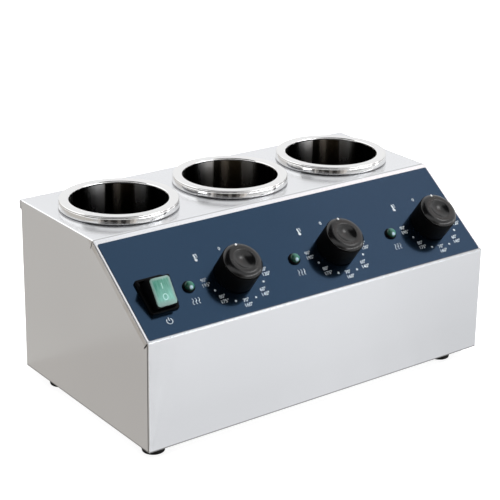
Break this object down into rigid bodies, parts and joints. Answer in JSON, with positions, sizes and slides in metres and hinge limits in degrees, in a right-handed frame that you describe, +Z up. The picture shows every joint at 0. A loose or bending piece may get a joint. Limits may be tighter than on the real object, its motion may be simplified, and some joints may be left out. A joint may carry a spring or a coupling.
{
  "type": "sauce warmer",
  "caption": "Countertop sauce warmer: round rimmed wells in a folded steel housing with a sloped navy control face carrying a power rocker, thermostat knobs and pilot lamps.",
  "frame": {"origin": "on the surface that the feet stand on, below the middle of the warmer's box, cable gland included", "axes": "+X to the warmer's right as its user faces it, +Y from the front face to the rear panel, +Z up"},
  "size_m": [0.4012, 0.238, 0.1913],
  "materials": {
    "housing_steel": "fine brushed grain",
    "well_steel": "polished rim, drawn inside",
    "zinc_steel": "zinc plated",
    "band_steel": "dull, heat tinted",
    "brass": "plain turned",
    "copper": "drawn copper tube",
    "navy_film": "satin printed film",
    "black_plastic": "satin moulded",
    "white_ink": "solid white",
    "green_lens": "milky translucent moulding",
    "cream_plastic": "moulded",
    "glass_sleeve": "braided glass sleeve",
    "black_rubber": "dull moulded"
  },
  "bodies": {
    "housing": {"housing_shell": "housing_steel", "rear_panel": "housing_steel", "base_plate": "zinc_steel", "control_overlay": "navy_film", "well_1": "well_steel", "well_2": "well_steel", "well_3": "well_steel", "heater_band_1": "band_steel", "heater_band_2": "band_steel", "heater_band_3": "band_steel", "band_screw_1": "zinc_steel", "band_screw_2": "zinc_steel", "band_screw_3": "zinc_steel", "thermostat_1": "zinc_steel", "thermostat_2": "zinc_steel", "thermostat_3": "zinc_steel", "sensor_line_1": "copper", "sensor_line_2": "copper", "sensor_line_3": "copper", "heater_lead_1": "glass_sleeve", "heater_lead_2": "glass_sleeve", "heater_lead_3": "glass_sleeve", "bushing_nut_1": "brass", "bushing_nut_2": "brass", "bushing_nut_3": "brass", "lamp_body_1": "black_plastic", "lamp_body_2": "black_plastic", "lamp_body_3": "black_plastic", "lamp_lens_1": "green_lens", "lamp_lens_2": "green_lens", "lamp_lens_3": "green_lens", "switch_frame": "black_plastic", "foot_1": "black_rubber", "foot_2": "black_rubber", "foot_3": "black_rubber", "foot_4": "black_rubber", "foot_screw_1": "zinc_steel", "foot_screw_2": "zinc_steel", "foot_screw_3": "zinc_steel", "foot_screw_4": "zinc_steel", "rear_screw_1": "zinc_steel", "rear_screw_2": "zinc_steel", "rear_screw_3": "zinc_steel", "rear_screw_4": "zinc_steel", "gland_body": "black_plastic", "gland_nut": "black_plastic", "terminal_block": "cream_plastic", "earth_stud": "brass", "switch_lead": "glass_sleeve"},
    "dial_1": {"knob_1": "black_plastic", "pointer_1": "white_ink", "spindle_1": "zinc_steel"},
    "dial_2": {"knob_2": "black_plastic", "pointer_2": "white_ink", "spindle_2": "zinc_steel"},
    "dial_3": {"knob_3": "black_plastic", "pointer_3": "white_ink", "spindle_3": "zinc_steel"},
    "rocker_switch": {"rocker": "black_plastic", "rocker_lens": "green_lens"}
  },
  "joints": [
    {"name": "dial_1_turn", "type": "hinge", "parent": "housing", "child": "dial_1", "pos_m": [-0.0838, -0.08444, 0.14158], "axis": [0, 0.595, -0.8037], "range_deg": [0, 270]},
    {"name": "dial_2_turn", "type": "hinge", "parent": "housing", "child": "dial_2", "pos_m": [0.0366, -0.08444, 0.14158], "axis": [0, 0.595, -0.8037], "range_deg": [0, 270]},
    {"name": "dial_3_turn", "type": "hinge", "parent": "housing", "child": "dial_3", "pos_m": [0.157, -0.08444, 0.14158], "axis": [0, 0.595, -0.8037], "range_deg": [0, 270]},
    {"name": "rocker_tip", "type": "hinge", "parent": "housing", "child": "rocker_switch", "pos_m": [-0.169, -0.08474, 0.14199], "axis": [1, 0, 0], "range_deg": [-36, 0]}
  ]
}
